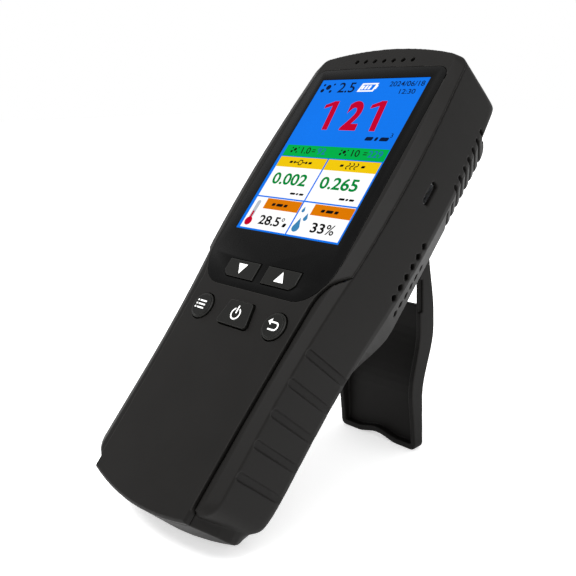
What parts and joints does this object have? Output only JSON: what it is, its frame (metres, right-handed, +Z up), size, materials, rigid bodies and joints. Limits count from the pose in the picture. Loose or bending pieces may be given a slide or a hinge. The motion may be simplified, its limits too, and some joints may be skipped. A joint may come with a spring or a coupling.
{
  "type": "handheld air quality monitor",
  "caption": "Handheld air quality monitor with a tall colour display, five keys, side grips, rear vents and a fold-out stand, standing on the open stand.",
  "frame": {"origin": "middle of the footprint on the surface that the monitor stands on, with its stand open", "axes": "+Z up, +X to the right of the screen, the screen faces -Y and leans back"},
  "size_m": [0.0776, 0.1437, 0.1544],
  "materials": {
    "front_abs": "fine moulded texture",
    "rear_abs": "fine moulded texture",
    "lens_acrylic": "polished, back printed",
    "screen": "lit display",
    "key_plastic": "fine satin",
    "foam": "closed cell foam",
    "steel": "plated",
    "screw_steel": "zinc plated",
    "board": "solder mask",
    "polyimide": "film",
    "switch_black": "moulded",
    "cell_wrap": "shrink wrap",
    "lead_wire": "insulated",
    "sensor_plastic": "moulded",
    "sensor_metal": "stamped",
    "sensor_can": "drawn",
    "sensor_white": "moulded",
    "screen_mesh": "woven mesh"
  },
  "bodies": {
    "case": {"front_cover": "front_abs", "rear_cover": "rear_abs", "display_lens": "lens_acrylic", "lens_gasket": "foam", "lcd_panel": "screen", "lcd_frame": "steel", "lcd_ribbon": "polyimide", "tact_switches": "switch_black", "main_board": "board", "board_screws": "screw_steel", "usb_socket": "steel", "battery_cell": "cell_wrap", "battery_tray": "foam", "battery_lead": "lead_wire", "sensor_case": "sensor_plastic", "sensor_lid": "sensor_metal", "fan_motor": "switch_black", "sensor_lead": "sensor_white", "formaldehyde_sensor": "sensor_can", "voc_sensor": "sensor_can", "humidity_sensor": "sensor_white", "buzzer": "switch_black", "left_dust_screen": "screen_mesh", "right_dust_screen": "screen_mesh", "case_screws": "screw_steel", "hinge_pin": "steel", "pin_clips": "steel"},
    "stand": {"kickstand": "rear_abs"},
    "down_key": {"key_down": "key_plastic"},
    "up_key": {"key_up": "key_plastic"},
    "set_key": {"key_set": "key_plastic"},
    "power_key": {"key_power": "key_plastic"},
    "esc_key": {"key_esc": "key_plastic"},
    "fan": {"sensor_fan": "switch_black"}
  },
  "joints": [
    {"name": "stand_fold", "type": "hinge", "parent": "case", "child": "stand", "pos_m": [0, 0.04614, 0.10011], "axis": [1, 0, 0], "range_deg": [-43.6, 0]},
    {"name": "down_press", "type": "slide", "parent": "case", "child": "down_key", "axis": [0, 0.748, -0.6637], "range_m": [0, 0.0005], "stiffness_N_per_m": 2000, "springref_m": -0.0003},
    {"name": "up_press", "type": "slide", "parent": "case", "child": "up_key", "axis": [0, 0.748, -0.6637], "range_m": [0, 0.0005], "stiffness_N_per_m": 2000, "springref_m": -0.0003},
    {"name": "set_press", "type": "slide", "parent": "case", "child": "set_key", "axis": [0, 0.748, -0.6637], "range_m": [0, 0.0005], "stiffness_N_per_m": 2000, "springref_m": -0.0003},
    {"name": "esc_press", "type": "slide", "parent": "case", "child": "esc_key", "axis": [0, 0.748, -0.6637], "range_m": [0, 0.0005], "stiffness_N_per_m": 2000, "springref_m": -0.0003},
    {"name": "power_press", "type": "slide", "parent": "case", "child": "power_key", "axis": [0, 0.748, -0.6637], "range_m": [0, 0.0005], "stiffness_N_per_m": 2000, "springref_m": -0.0003},
    {"name": "fan_spin", "type": "hinge", "parent": "case", "child": "fan", "pos_m": [-0.006, 0.04108, 0.1161], "axis": [0, -0.748, 0.6637], "continuous": true}
  ]
}
